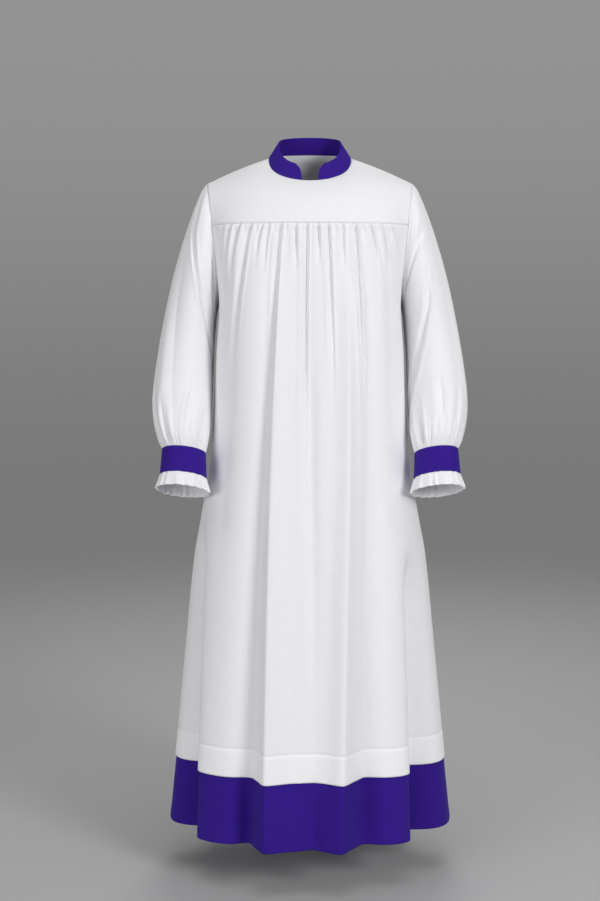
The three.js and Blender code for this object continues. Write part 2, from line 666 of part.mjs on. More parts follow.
function cuffBand(side) {
  const rows = [0, CUFF_LENGTH].map((distance) => {
    const section = cuffSection(distance, 0);
    return forSide(side, evenAngles(cuff.columns).map((angle) => ringPoint(section, angle)));
  });
  return clothWall(rows, BAND, { ring: true, turn: (normal) => squareToCuff(normal, side) });
}

/** The wrist frill, gathered onto the cuff's lower edge and waved at its own. */
function wristFrill(side) {
  const rows = [SEAM, 0.4 * frill.drop, frill.drop].map((below) => {
    const out = below / frill.drop;
    const section = cuffSection(CUFF_LENGTH + below, FRILL_CLOTH - frill.flare * out);
    const height = lerp(frill.depthTop, frill.depthBottom, out);
    return forSide(side, evenAngles(frill.columns).map((angle) => {
      const point = ringPoint(section, angle);
      const uneven = 0.75 + 0.25 * Math.sin(degToRad(angle * 5 + 40 * side));
      const wave = Math.cos(degToRad(angle * frill.waves)) * uneven;
      return point.addScaledVector(point.clone().sub(section.middle).normalize(), height * wave);
    }));
  });
  const turn = (normal, i) => i === 0 && squareToCuff(normal, side);
  return clothWall(rows, FRILL_CLOTH, { ring: true, turn });
}

// --- The gown -------------------------------------------------------------------------

const whiteLinen = { color: 0xf1f1f4, roughness: 0.85, metalness: 0 };
const violetCloth = { color: 0x35209a, roughness: 0.8, metalness: 0 };
const rochet = new THREE.Group();

function addPiece(name, geometry, finish) {
  const mesh = new THREE.Mesh(geometry, new THREE.MeshStandardMaterial(finish));
  mesh.name = name;
  rochet.add(mesh);
}

addPiece("yoke_front", yokePanel(front), whiteLinen);
addPiece("yoke_back", yokePanel(back), whiteLinen);
addPiece("body_front", bodyPanel(front), whiteLinen);
addPiece("body_back", bodyPanel(back), whiteLinen);
addPiece("border_front", borderPanel(front), violetCloth);
addPiece("border_back", borderPanel(back), violetCloth);
addPiece("collar", collar(), violetCloth);
for (const [name, side, folds] of [["left", 1, leftSleeveFolds], ["right", -1, rightSleeveFolds]]) {
  addPiece(`sleeve_${name}`, sleeve(side, folds), whiteLinen);
  addPiece(`cuff_${name}`, cuffBand(side), violetCloth);
  addPiece(`frill_${name}`, wristFrill(side), whiteLinen);
}

export default rochet;
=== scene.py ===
# %% [markdown]
# # A rochet in Blender
# A rochet is a full white linen gown, gathered onto a yoke. This one has a violet standing
# collar, violet cuffs with white frills, and a violet border below its deep white hem.
# The frame gives the plain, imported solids. Each of them is replaced here by a finer cloth.

# %% Load the frame
import bisect
import math

import bmesh
import bpy
from mathutils import Matrix, Vector


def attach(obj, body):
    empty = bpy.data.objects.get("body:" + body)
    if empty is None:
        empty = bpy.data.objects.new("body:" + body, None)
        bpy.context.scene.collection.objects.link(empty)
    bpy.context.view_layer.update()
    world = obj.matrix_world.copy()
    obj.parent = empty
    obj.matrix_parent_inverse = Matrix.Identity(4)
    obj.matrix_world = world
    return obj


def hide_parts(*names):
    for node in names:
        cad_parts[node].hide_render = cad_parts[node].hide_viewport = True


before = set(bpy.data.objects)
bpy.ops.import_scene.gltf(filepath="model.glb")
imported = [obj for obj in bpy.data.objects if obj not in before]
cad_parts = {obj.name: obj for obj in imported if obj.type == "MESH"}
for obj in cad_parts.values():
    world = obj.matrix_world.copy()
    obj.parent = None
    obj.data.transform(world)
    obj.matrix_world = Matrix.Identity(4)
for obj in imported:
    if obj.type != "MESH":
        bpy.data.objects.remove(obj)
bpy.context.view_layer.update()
MM = 0.001  # the tables below are in millimetres

# %% [markdown]
# ## Small tools for tables and cloth
# A pattern cutter writes sizes down in tables: how wide at this level, how deep at that one.
# `curve` draws a smooth line through one column of a table, without overshooting.
# `cloth` starts from Blender's flat grid, as a length of cloth starts flat, and then moves each
# corner to where it hangs. That keeps the rows of cells straight along the grain, and gives
# the cloth a UV map in metres, so that a weave has its real size everywhere.

# %% Tables and smooth curves through them
def table(columns, *rows):
    return [dict(zip(columns.split(), row)) for row in rows]


def lerp(a, b, t):
    return a + (b - a) * t


def clamp(value, low=0.0, high=1.0):
    return max(low, min(high, value))


def smooth(value, low=0.0, high=1.0):
    t = clamp((value - low) / (high - low))
    return t * t * (3 - 2 * t)


def curve(rows, key, name):
    points = sorted((row[key], row[name]) for row in rows)
    xs, ys = zip(*points)
    slopes = [(ys[i + 1] - ys[i]) / (xs[i + 1] - xs[i]) for i in range(len(xs) - 1)]
    tangents = [slopes[0]]
    for before, after in zip(slopes, slopes[1:]):
        tangents.append(0 if before * after <= 0 else 2 * before * after / (before + after))
    tangents.append(slopes[-1])

    def at(value):
        x = clamp(value, xs[0], xs[-1])
        i = min(max(bisect.bisect_right(xs, x) - 1, 0), len(xs) - 2)
        width = xs[i + 1] - xs[i]
        t = (x - xs[i]) / width
        level = (1 - 3 * t**2 + 2 * t**3) * ys[i] + (3 * t**2 - 2 * t**3) * ys[i + 1]
        start = (t**3 - 2 * t**2 + t) * width * tangents[i]
        return level + start + (t**3 - t**2) * width * tangents[i + 1]

    return at


print("a curve through two rows, half way:", curve(table("z x", (0, 10), (10, 20)), "z", "x")(5))

# %% A length of cloth from rows of points
def cloth(name, rows, flat, ring=False):
    """rows run from top to bottom, and to the right seen from outside; flat is its size in mm."""
    across, down = len(rows[0]) - 1, len(rows) - 1
    bm = bmesh.new()
    bmesh.ops.create_grid(bm, x_segments=across, y_segments=down, size=0.5)
    uv = bm.loops.layers.uv.new("cloth")
    for face in bm.faces:
        face.smooth = True
        for loop in face.loops:
            place = loop.vert.co
            loop[uv].uv = ((place.x + 0.5) * flat[0] * MM, (place.y + 0.5) * flat[1] * MM)
    for vert in bm.verts:
        j = round((vert.co.x + 0.5) * across)
        i = round((0.5 - vert.co.y) * down)
        vert.co = rows[i][j] * MM
    if ring:
        bmesh.ops.remove_doubles(bm, verts=bm.verts, dist=1e-6)
    return finished(name, bm)


def finished(name, bm):
    mesh = bpy.data.meshes.new(name)
    bm.to_mesh(mesh)
    bm.free()
    piece = bpy.data.objects.new(name, mesh)
    bpy.context.scene.collection.objects.link(piece)
    return piece


def thicken(piece, thickness):
    """Gives a sheet its wall, inwards from the outer face."""
    wall = piece.modifiers.new("wall", "SOLIDIFY")
    wall.thickness = thickness * MM
    wall.offset = -1
    return piece


print("a length of cloth has its UV map in metres, and its wall inside its outer face")

# %% [markdown]
# ## The cut of the gown
# These sizes are the gown's own. Height is measured from the neck seam at the shoulder, and the
# front faces -Y. "power" says how square a level section through the gown is: 2 is an ellipse.

# %% Sizes of the body, yokes and armholes
SEAM = 0.3  # the gap between two pieces
CLOTH = 1.4  # the solid's wall; the cloth here is thinner, on the same outer face
LINEN = 0.8
YOKE_LINEN = 1.0
FRILL_LINEN = 0.6
BORDER_CLOTH = 1.1
NECK = {"half_width": 88, "front": 78, "back": 62, "front_drop": 56, "back_rise": 15, "power": 0.8}
SHOULDER = Vector((219, 5, -54))
ARMHOLE_BOTTOM = -315
ARMHOLE_MIDDLE = (SHOULDER.z + ARMHOLE_BOTTOM) / 2
ARMHOLE_HALF = (SHOULDER.z - ARMHOLE_BOTTOM) / 2
YOKE_SIDE_ANGLE = 75  # the yoke's share of the armhole, in degrees from the shoulder
SEAM_Z = -150
HEM_FOLD_Z = -1213
HEM_Z = -1269
BORDER_TOP_Z = -1262
FOOT_Z = -1402

side_widths = table(
    "z x",
    (-54, 219), (-150, 205), (-235, 196), (-315, 193), (-411, 199), (-520, 204), (-620, 211),
    (-700, 221), (-780, 235), (-841, 246), (-1053, 267), (-1269, 287), (-1402, 300),
)
body_depths = table(
    "z front back power",
    (-145, 140, 116, 2.7), (-235, 150, 127, 3.1), (-315, 157, 132, 3.2), (-420, 163, 134, 2.95),
    (-520, 168, 137, 2.7), (-700, 178, 149, 2.4), (-950, 193, 170, 2.3), (-1213, 210, 194, 2.3),
    (-1402, 222, 214, 2.3),
)
side_width = curve(side_widths, "z", "x")
section_power = curve(body_depths, "z", "power")
print("across the shoulders:", 2 * SHOULDER.x, "mm; round the foot, half width:", side_width(FOOT_Z))

# %% [markdown]
# ## The folds
# Gathered cloth hangs in two kinds of fold. A few large ones run all the way to the foot and
# grow as they fall: they are steep on one side and gentle on the other, because the cloth
# rolls over. Many small creases start at the gathers, and each dies out at its own length.
# A procedural noise would make them all alike, so both kinds are listed one by one, in tables.
#
# A fold's "path" is its distance from the middle at five levels, and "start" and "end" are the
# heights between which it shows. "top" and "bottom" are its depth at the yoke seam and at the
# foot, below zero for a ridge. "right" and "left" are the widths of its slopes, to the wearer's
# right and left. The last folds of the front are the border's alone, which hangs free below.

# %% Large folds of the front and the back
FOLD_LEVELS = (SEAM_Z, -330, -600, -950, FOOT_Z)  # yoke seam, chest, waist, knee and foot
BORDER_FREE_Z = HEM_Z + 35  # the border is held above this height, and hangs free below it
front_folds = table(
    "path start end top bottom right left",
    ((-62, -80, -91, -109, -128), -150, -1600, 5, 15, 42, 14),
    ((-54, -65, -75, -82, -88), -220, -1600, -2, -35, 17, 46),
    ((36, 30, 18, 8, -5), -150, -1600, 2, -12, 34, 34),
    ((66, 78, 76, 68, 58), -220, -1600, -2, -34, 31, 22),
    ((95, 118, 120, 116, 112), -150, -1600, 3, 13, 17, 40),
    ((-121, -153, -173, -190, -196), -150, -900, 3, 6, 40, 30),
    ((-5, -8, 0, 6, 4), -150, -1150, 3, 9, 16, 30),
    ((146, 165, 172, 176, 180), -150, -700, 3, 4, 26, 30),
    ((-190, -200, -213, -240, -263), -760, -1700, 0, 62, 50, 25),
    ((166, 174, 192, 216, 236), -800, -1700, 0, 60, 24, 56),
    ((0, 2, 4, 6, 4), -420, -1600, 1, 6, 22, 17),
    ((96, 110, 118, 117, 112), -420, -1600, 1, 8, 26, 44),
    ((-132, -132, -134, -136, -134), BORDER_FREE_Z, -1600, 0, 15, 20, 13),
    ((-4, -4, -4, -2, 2), BORDER_FREE_Z, -1600, 0, 9, 22, 14),
    ((108, 110, 112, 114, 116), BORDER_FREE_Z, -1600, 0, 6, 28, 26),
)
back_folds = table(
    "path start end top bottom right left",
    ((70, 88, 104, 124, 150), -150, -1600, 4, 25, 20, 44),
    ((30, 36, 46, 66, 88), -220, -1600, -1, -17, 30, 22),
    ((-12, -16, -8, 4, 14), -150, -1600, 3, 17, 28, 26),
    ((-60, -66, -72, -74, -66), -220, -1600, -1, -18, 24, 30),
    ((-98, -112, -124, -130, -138), -150, -1600, 3, 20, 40, 18),
    ((128, 150, 168, 190, 200), -150, -850, 3, 6, 28, 34),
    ((-150, -166, -176, -190, -196), -150, -760, 3, 5, 30, 26),
    ((190, 200, 215, 232, 250), -780, -1700, 0, 34, 26, 44),
    ((-190, -200, -212, -230, -246), -760, -1700, 0, 36, 46, 24),
)
print("large folds:", len(front_folds), "in front and", len(back_folds), "behind")

# %% Creases that start at the gathers
# "seam" and "end" are distances from the middle, "length" is how far down the crease runs,
# and "depth" and "width" are the size of its trough.
front_creases = table(
    "seam end length depth width",
    (-176, -186, 34, 2.1, 3.5), (-161, -175, 90, 5.0, 5.3), (-152, -158, 24, 2.3, 3.6),
    (-141, -166, 120, 5.6, 5.9), (-131, -136, 26, 2.6, 3.6), (-119, -163, 330, 5.6, 7.7),
    (-106, -112, 30, 3.0, 3.5), (-94, -112, 76, 5.2, 4.8), (-82, -97, 118, 4.6, 5.3),
    (-70, -74, 26, 2.9, 3.6), (-58, -80, 420, 7.0, 5.9), (-46, -49, 30, 3.0, 3.6),
    (-37, -38, 22, 2.4, 2.9), (-28, -29, 112, 6.0, 4.8), (-17, -18, 34, 3.0, 3.6),
    (-6, -11, 640, 6.6, 5.9), (4, 4, 26, 2.6, 3.6), (17, 18, 96, 6.2, 4.8),
    (27, 28, 24, 2.4, 2.9), (36, 49, 400, 6.4, 5.3), (51, 53, 28, 2.9, 3.6),
    (66, 69, 110, 5.6, 4.8), (79, 83, 26, 2.4, 3.6), (92, 114, 470, 7.2, 5.3),
    (106, 111, 30, 3.4, 3.6), (122, 143, 112, 6.8, 4.8), (134, 143, 30, 3.2, 3.6),
    (146, 168, 130, 6.6, 4.8), (158, 168, 34, 3.2, 3.6), (169, 188, 90, 5.4, 4.4),
    (182, 190, 26, 1.8, 3.6),
)
back_creases = table(
    "seam end length depth width",
    (-178, -188, 46, 2.0, 4.1), (-163, -180, 96, 4.2, 5.3), (-150, -160, 30, 2.4, 3.5),
    (-139, -164, 170, 5.2, 5.9), (-124, -131, 34, 2.8, 3.5), (-110, -134, 126, 5.2, 5.3),
    (-97, -116, 300, 5.9, 5.9), (-82, -88, 30, 2.8, 3.5), (-68, -82, 118, 5.6, 5.3),
    (-55, -59, 40, 3.0, 3.5), (-42, -52, 150, 5.9, 5.3), (-27, -29, 30, 2.8, 3.5),
    (-13, -17, 360, 6.2, 5.3), (2, 2, 34, 3.0, 3.5), (15, 18, 132, 5.9, 5.3),
    (30, 33, 28, 2.8, 3.5), (44, 56, 190, 5.9, 5.3), (58, 62, 34, 2.8, 3.5),
    (72, 90, 330, 6.2, 5.9), (86, 92, 28, 2.8, 3.5), (101, 120, 130, 5.2, 5.3),
    (115, 123, 36, 2.8, 3.5), (130, 156, 210, 5.0, 5.9), (145, 154, 28, 2.4, 3.5),
    (160, 176, 92, 4.2, 5.3), (176, 187, 42, 2.0, 4.1),
)
print("creases:", len(front_creases), "in front and", len(back_creases), "behind")

# %% [markdown]
# ## The body's shape
# A level section through the front or the back is a quarter of a rounded square on each side.
# The length along it, the "run", says where on the cloth a point lies, because folds and
# stitches keep their size along the cloth, and not along a straight line.

# %% A face of the gown and its level sections
class Face:
    """The front or the back of the gown, with its own depths, folds and creases."""

    def __init__(self, name, sign, armhole_depth, folds, creases, slopes):
        self.name = name
        self.sign = sign
        self.reach = curve(body_depths, "z", name)
        self.armhole_depth = armhole_depth
        self.folds = folds
        self.creases = creases
        self.slopes = slopes
        for fold in folds:
            levels = table("z x", *zip(FOLD_LEVELS, fold["path"]))
            fold["line"] = curve(levels, "z", "x")

    def armhole(self, angle):
        """A point of the left armhole, by its angle from the shoulder."""
        z = ARMHOLE_MIDDLE + ARMHOLE_HALF * math.cos(math.radians(angle))
        y = SHOULDER.y + self.sign * self.armhole_depth * math.sin(math.radians(angle))
        return Vector((side_width(z), y, z))

    def edge(self, z):
        if z <= ARMHOLE_BOTTOM:
            return Vector((side_width(z), SHOULDER.y, z))
        return self.armhole(math.degrees(math.acos((z - ARMHOLE_MIDDLE) / ARMHOLE_HALF)))


front = Face("front", -1, 82, front_folds, front_creases, {"neck": 34, "side": 27, "tip": 0})
back = Face("back", 1, 84, back_folds, back_creases, {"neck": 20, "side": 8, "tip": 0})


class Section:
    """The left half of a level section, sampled finely, with lookups by run and by x."""

    def __init__(self, face, z, samples=110):
        edge = face.edge(z)
        power = section_power(z)
        span = face.reach(z) - face.sign * SHOULDER.y
        part = clamp(face.sign * (edge.y - SHOULDER.y) / span, 0, 0.98)
        last = math.acos(part ** (power / 2))
        width = edge.x / math.sin(last) ** (2 / power)
        self.x, self.y, self.run = [], [], []
        for i in range(samples + 1):
            turn = last * (i / samples) ** 1.15
            self.x.append(width * math.sin(turn) ** (2 / power))
            self.y.append(SHOULDER.y + face.sign * span * max(math.cos(turn), 0) ** (2 / power))
            step = math.hypot(self.x[-1] - self.x[-2], self.y[-1] - self.y[-2]) if i else 0
            self.run.append(self.run[-1] + step if i else 0)
        self.half = self.run[-1]

    def at(self, keys, value):
        """x, y and run where the given column has this value."""
        i = min(max(bisect.bisect_right(keys, value), 1), len(keys) - 1)
        t = (value - keys[i - 1]) / (keys[i] - keys[i - 1])
        return [lerp(column[i - 1], column[i], t) for column in (self.x, self.y, self.run)]

    def run_of(self, x):
        return math.copysign(self.at(self.x, abs(x))[2], x)


print("half the front's width along the cloth at the foot:", round(Section(front, FOOT_Z).half), "mm")

# %% [markdown]
# ## Relief: what folds and creases do to a section
# A large fold is a smooth hollow whose two slopes differ. A crease is a narrow trough with the
# cloth swelling a little on both sides, as it does where a thread draws it together.
# Everything dies away at the side seams, where two panels have to meet.

# %% Depth of the large folds and the creases
WIDTH_AT_SEAM = 0.42  # a fold is this much of its full width where it leaves the yoke
FOLD_START_LENGTH, FOLD_END_LENGTH = 130, 260  # how long a fold takes to come and to go


def fold_depth(section, run, z):
    down = clamp((SEAM_Z - z) / (SEAM_Z - FOOT_Z))
    spread = lerp(WIDTH_AT_SEAM, 1, down)
    depth = 0
    for fold, middle in section.fold_lines:
        gap = run - middle
        width = spread * (fold["right"] if gap < 0 else fold["left"])
        if abs(gap) < 3 * width:
            starts = smooth(fold["start"] - z, 0, FOLD_START_LENGTH)
            lasts = 1 - smooth(fold["end"] + FOLD_END_LENGTH - z, 0, FOLD_END_LENGTH)
            shape = math.exp(-(abs(gap / width) ** 1.8))
            depth += lerp(fold["top"], fold["bottom"], down) * shape * starts * lasts
    return depth


def trough(gap, width):
    """A sharp crease: steep on the wearer's left, gentle on the right, with a lip each side."""
    t = gap / width if gap < 0 else 2.2 * gap / width
    if abs(t) > 4:
        return 0
    return math.exp(-(abs(t) ** 1.3)) - 0.42 * math.exp(-((abs(t) - 2.0) ** 2) / 0.8)


def crease_depth(section, run):
    depth = 0
    for crease, middle, envelope in section.crease_lines:
        if abs(run - middle) < 4 * crease["width"]:
            depth += crease["depth"] * envelope * trough(run - middle, crease["width"])
    return depth


def draw_lines(face, section, z):
    """Works out once for a level where each fold and crease crosses it."""
    section.fold_lines = [(fold, section.run_of(fold["line"](z))) for fold in face.folds]
    section.crease_lines = []
    for crease in face.creases:
        fall = (SEAM_Z - z) / crease["length"]
        if fall < 1:
            x = lerp(crease["seam"], crease["end"], max(fall, 0) ** 0.65)
            envelope = smooth(SEAM_Z - z, -4, 12) * (1 - smooth(fall, 0.3, 1))
            section.crease_lines.append((crease, section.run_of(x), envelope))


def gathered_relief(z):
    """Gathered cloth is thick where it is sewn in: it swells out most 5 mm below the yoke."""
    return 1.4 * math.exp(-(((SEAM_Z - 5 - z) / 6) ** 2))


def hem_relief(z):
    """The turned-up hem is double: it stands out a little below the ditch of its stitching."""
    ditch = -0.9 * math.exp(-(((z - HEM_FOLD_Z) / 2.6) ** 2))
    return ditch + 0.7 * smooth(HEM_FOLD_Z - z, 0, 5)


print("a crease in its middle, and in its lip:", trough(0, 5), round(trough(-10, 5), 2))

# %% Rows of the body, and rows moved in behind an edge
# The columns run straight down in the middle, and only the outer ones bend round the armhole.
STRAIGHT_PART = 0.68
SIDE_REACH = 26  # folds and creases die away over this distance from the side seam
for face in (front, back):
    face.whole = Section(face, ARMHOLE_BOTTOM).half


def body_row(face, z, columns=400):
    """A level row of points in even steps along the cloth, to the right seen from outside."""
    section = Section(face, z)
    draw_lines(face, section, z)
    half = section.half
    whole = max(half, face.whole)
    row = []
    for j in range(columns + 1):
        part = abs(2 * j / columns - 1)
        outer = max(part - STRAIGHT_PART, 0) / (1 - STRAIGHT_PART)
        side = math.copysign(1, j - columns / 2)
        straight = whole * STRAIGHT_PART
        run = side * (whole * min(part, STRAIGHT_PART) + (half - straight) * outer)
        x, y, _ = section.at(section.run, abs(run))
        x0, y0, _ = section.at(section.run, max(abs(run) - 1, 0))
        x1, y1, _ = section.at(section.run, min(abs(run) + 1, half))
        outwards = Vector((-face.sign * (y1 - y0), face.sign * (x1 - x0))).normalized()
        relief = -fold_depth(section, run, z) - crease_depth(section, run)
        relief += hem_relief(z) + gathered_relief(z)
        out = relief * smooth(half - abs(run), 0, SIDE_REACH)
        row.append(Vector((side * (x + abs(outwards.x) * out), y + outwards.y * out, z)))
    return row if face.sign < 0 else row[::-1]


def moved_in(row, distance):
    """A level row moved into the gown, square to the row's own folds."""
    moved = []
    for j, point in enumerate(row):
        next_point, last_point = row[min(j + 1, len(row) - 1)], row[max(j - 1, 0)]
        inwards = Vector((last_point.y - next_point.y, next_point.x - last_point.x, 0))
        moved.append(point + inwards.normalized() * distance)
    return moved


def open_side_seam(rows, face):
    for row in rows:
        for end in (row[0], row[-1]):
            if end.z <= ARMHOLE_BOTTOM + 1:
                end.y += face.sign * SEAM / 2
    return rows


print("points in a row of the front:", len(body_row(front, SEAM_Z)))

# %% [markdown]
# ## The body
# Each half of the body is one wide piece. Its top edge runs in behind the yoke, where it is
# gathered, and its foot is turned up into a deep hem. The rows are close together where the
# creases start and at the ditch of the hem's stitching, and wider apart between.

# %% Front and back of the body
TUCK_Z = -153  # above this height the body runs in behind the yoke
tuck = curve(table("z inwards", (TUCK_Z, 0), (-151, 0.4), (-150, 1.6), (-146, 3.4)), "z", "inwards")


def body_levels():
    levels = [-146, -148.5, -150, -151, -152.5, -155, -158.5]
    close_rows_z = HEM_FOLD_Z + 12
    while levels[-1] > close_rows_z:
        levels.append(levels[-1] - lerp(4, 18, smooth(-levels[-1], 170, 620)))
    levels = [z for z in levels if z > close_rows_z]
    levels += [HEM_FOLD_Z + dz for dz in (10, 6, 3.5, 1.5, 0, -1.5, -3.5, -6, -12)]
    return levels + [-1236, -1248, -1260, -1266, HEM_Z]


bodies = {}
hem_rows = {}
for face in (front, back):
    levels = body_levels()
    rows = []
    for z in levels:
        row = body_row(face, z)
        rows.append(moved_in(row, tuck(z)) if z > TUCK_Z else row)
    hem_rows[face.name] = rows[levels.index(HEM_FOLD_Z)]
    piece = cloth(f"body_{face.name}_cloth", open_side_seam(rows, face), (950, 1125))
    bodies[face.name] = thicken(piece, LINEN)
    print(piece.name, "rows:", len(rows), "faces:", len(piece.data.polygons))

# %% [markdown]
# ## The violet border
# The border is sewn behind the white hem and follows its folds. Its own lower edge is turned up
# inside, so the last two centimetres are double and stand out a hair.

# %% Front and back of the border
BEHIND_HEM = CLOTH + 4 * SEAM  # how far inside the hem's outer face the border's is
borders = {}
for face in (front, back):
    levels = [BORDER_TOP_Z, -1265, -1268, -1271, -1276]
    levels += [lerp(-1284, -1388, k / 8) for k in range(9)] + [-1393, -1397, -1400, FOOT_Z]
    rows = []
    for z in levels:
        row = moved_in(body_row(face, z), BEHIND_HEM)
        turned_up = 0.5 * smooth(FOOT_Z + 18 - z, 0, 4) - 0.5 * smooth(FOOT_Z + 3 - z, 0, 3)
        rows.append(moved_in(row, -turned_up))
    piece = cloth(f"border_{face.name}_cloth", open_side_seam(rows, face), (960, 140))
    borders[face.name] = thicken(piece, BORDER_CLOTH)
    print(piece.name, "faces:", len(piece.data.polygons))

# %% [markdown]
# ## The yokes
# A yoke is a smooth, shaped piece that carries the gathers. Each column of it is part of a
# circle: it leaves the neck or the shoulder seam at one slope and reaches the body at another.
# Rows are evened out between the armholes, because a pressed yoke has no corners of its own.

# %% Neck seam and upper edge of a yoke
NECK_PART = 0.5  # the part of a yoke's half width that meets the neck


def neck_point(face, angle):
    turn = math.radians(angle)
    across = max(math.cos(turn), 0)
    reach = NECK["front"] if face.sign < 0 else NECK["back"]
    rise = -NECK["front_drop"] if face.sign < 0 else NECK["back_rise"]
    x = NECK["half_width"] * math.sin(turn)
    return Vector((x, face.sign * reach * across, rise * across ** NECK["power"]))


def yoke_top(face, part):
    if part <= NECK_PART:
        return neck_point(face, 90 * part / NECK_PART)
    t = (part - NECK_PART) / (1 - NECK_PART)
    start = Vector((NECK["half_width"], face.sign * SEAM / 2, 0))
    end = SHOULDER + Vector((0, face.sign * SEAM / 2, 0))
    return start.lerp(end, t) + Vector((0, 0, 3 * math.sin(math.pi * t)))


def evened(row, passes):
    for _ in range(passes):
        inner = [(a + 2 * b + c) / 4 for a, b, c in zip(row, row[1:], row[2:])]
        row = [row[0], *inner, row[-1]]
    return row


print("a yoke's top edge ends at", tuple(round(v) for v in yoke_top(front, 1)))

# %% Front and back yoke
YOKE_COLUMNS = 112
YOKE_ROWS = 30
YOKE_FOOT_SLOPE = 82  # how steep a yoke is at its lower edge, in its middle, in degrees
EVENING_PASSES = 96  # for a row in the middle of a yoke; its top and foot aren't evened


def yoke_slope(face, part):
    to_shoulder = (part - NECK_PART) / (1 - NECK_PART)
    end = "neck" if to_shoulder < 0 else "tip"
    return lerp(face.slopes["side"], face.slopes[end], abs(to_shoulder))


def yoke_rows(face):
    seam = Section(face, face.armhole(YOKE_SIDE_ANGLE).z)
    rows = []
    for i in range(YOKE_ROWS + 1):
        down = i / YOKE_ROWS
        row = []
        for j in range(YOKE_COLUMNS + 1):
            part = abs(2 * j / YOKE_COLUMNS - 1)
            top = yoke_top(face, part)
            foot_x, foot_y, _ = seam.at(seam.run, seam.half * part)
            first = math.radians(yoke_slope(face, part))
            last = math.radians(lerp(YOKE_FOOT_SLOPE, YOKE_SIDE_ANGLE, part))
            turn = lerp(first, last, down)
            fall = (math.cos(first) - math.cos(turn)) / (math.cos(first) - math.cos(last))
            reach = (math.sin(turn) - math.sin(first)) / (math.sin(last) - math.sin(first))
            point = Vector((lerp(top.x, foot_x, fall), lerp(top.y, foot_y, reach), 0))
            point.z = lerp(top.z, SEAM_Z, fall)
            if part == 1:
                point = face.armhole(YOKE_SIDE_ANGLE * down)
                point.y += face.sign * SEAM / 2 * (1 - down)
            point.x = 0 if part == 0 else math.copysign(point.x, 2 * j - YOKE_COLUMNS)
            row.append(point)
        passes = EVENING_PASSES * smooth(min(i, YOKE_ROWS - i), 0, 4)
        rows.append(evened(row, round(passes)))
    return rows if face.sign < 0 else [row[::-1] for row in rows]


def pressed_edge(rows):
    """The yoke's lower edge is folded under, so it ends in a thicker, rounded strip."""
    for row, out in zip(rows[-4:], (0.2, 0.6, 0.7, 0.3)):
        for point in row:
            point.y += math.copysign(out, point.y)
    return rows


yokes = {}
yoke_seam_rows = {}
for face in (front, back):
    rows = pressed_edge(yoke_rows(face))
    yoke_seam_rows[face.name] = rows[-3]
    piece = cloth(f"yoke_{face.name}_cloth", rows, (520, 170))
    yokes[face.name] = thicken(piece, YOKE_LINEN)
    print(piece.name, "faces:", len(piece.data.polygons))

# %% [markdown]
# ## The standing collar
# The collar is a stiff band of several layers. It leans in from the neck seam towards the neck,
# is highest at the sides and the back, and its two ends part at the front in a curved notch.

# %% Collar
BAND = 2.2  # several layers of cloth in the collar and cuffs
COLLAR_TOP = {"half_width": 66, "front": 55, "back": 50, "front_z": -21, "side_z": 34, "back_z": 52}
notch = curve(table("up x", (0, 16.3), (0.35, 17.8), (0.7, 20.5), (1, 30)), "up", "x")


def collar_row(up, columns=176):
    half_width = lerp(NECK["half_width"], COLLAR_TOP["half_width"], up)
    base_turn = math.asin(notch(0) / NECK["half_width"])
    first_turn = math.asin(notch(up) / half_width)
    row = []
    for j in range(columns + 1):
        even = lerp(base_turn, 2 * math.pi - base_turn, j / columns)
        turn = math.pi + (even - math.pi) / (math.pi - base_turn) * (math.pi - first_turn)
        in_front = math.cos(turn) > 0
        across = abs(math.cos(turn))
        rise = -NECK["front_drop"] if in_front else NECK["back_rise"]
        base_reach = NECK["front"] if in_front else NECK["back"]
        top_reach = COLLAR_TOP["front" if in_front else "back"]
        top_end = COLLAR_TOP["front_z" if in_front else "back_z"]
        base_z = rise * across ** NECK["power"] + SEAM
        top_z = lerp(COLLAR_TOP["side_z"], top_end, across**0.75)
        y = (-1 if in_front else 1) * lerp(base_reach, top_reach, up) * across
        row.append(Vector((half_width * math.sin(turn), y, lerp(base_z, top_z, up))))
    return row


def band(name, rows, flat, ring=False):
    """A stiff piece of several layers, with rolled edges."""
    piece = thicken(cloth(name, rows, flat, ring), BAND)
    edge = piece.modifiers.new("rolled edge", "BEVEL")
    edge.width = 0.7 * MM
    edge.segments = 2
    edge.limit_method = "ANGLE"
    edge.angle_limit = math.radians(50)
    return piece


COLLAR_STEPS = 14
collar_rows = [collar_row(1 - k / COLLAR_STEPS) for k in range(COLLAR_STEPS + 1)]
collar = band("collar_band", collar_rows, (500, 42))
print(collar.name, "faces:", len(collar.data.polygons))

# %% [markdown]
# ## The sleeves
# A sleeve is a tube whose sections turn as they go down: the first is the armhole, which stands
# upright, and the last is the cuff's top, which is nearly level. A smooth curve through the
# same angle of every section gives a line down the sleeve, and the lines together its surface.

# %% Sections of the left sleeve and the cuff
sleeve_sections = table(
    "outer_x outer_z inner_x inner_z y depth tilt",
    (234, -76, 197, -324, 4, 89, 0), (262, -152, 200, -345, 0, 91, 0),
    (290, -250, 203, -380, -5, 87, 3), (312, -356, 205, -430, -14, 81, 7),
    (326, -450, 206, -495, -30, 77, 12), (331, -515, 207, -545, -48, 74, 16),
    (327, -561, 209, -580, -67, 67, 18), (317, -595, 213, -606, -84, 56, 19.5),
)
CUFF_TOP = {"half_width": 45.5, "half_depth": 42, "middle": Vector((261.5, -95, -620))}
CUFF_FOOT = {"half_width": 48.5, "half_depth": 44.5, "middle": Vector((261.5, -114, -671))}
CUFF_LENGTH = (CUFF_FOOT["middle"] - CUFF_TOP["middle"]).length
CUFF_RISE = 4
CUFF_TILT = 20.5
CUFF_ROW = 9  # the armhole is row 0 and the sections are rows 1 to 8


def forward(tilt):
    return Vector((0, -math.cos(math.radians(tilt)), math.sin(math.radians(tilt))))


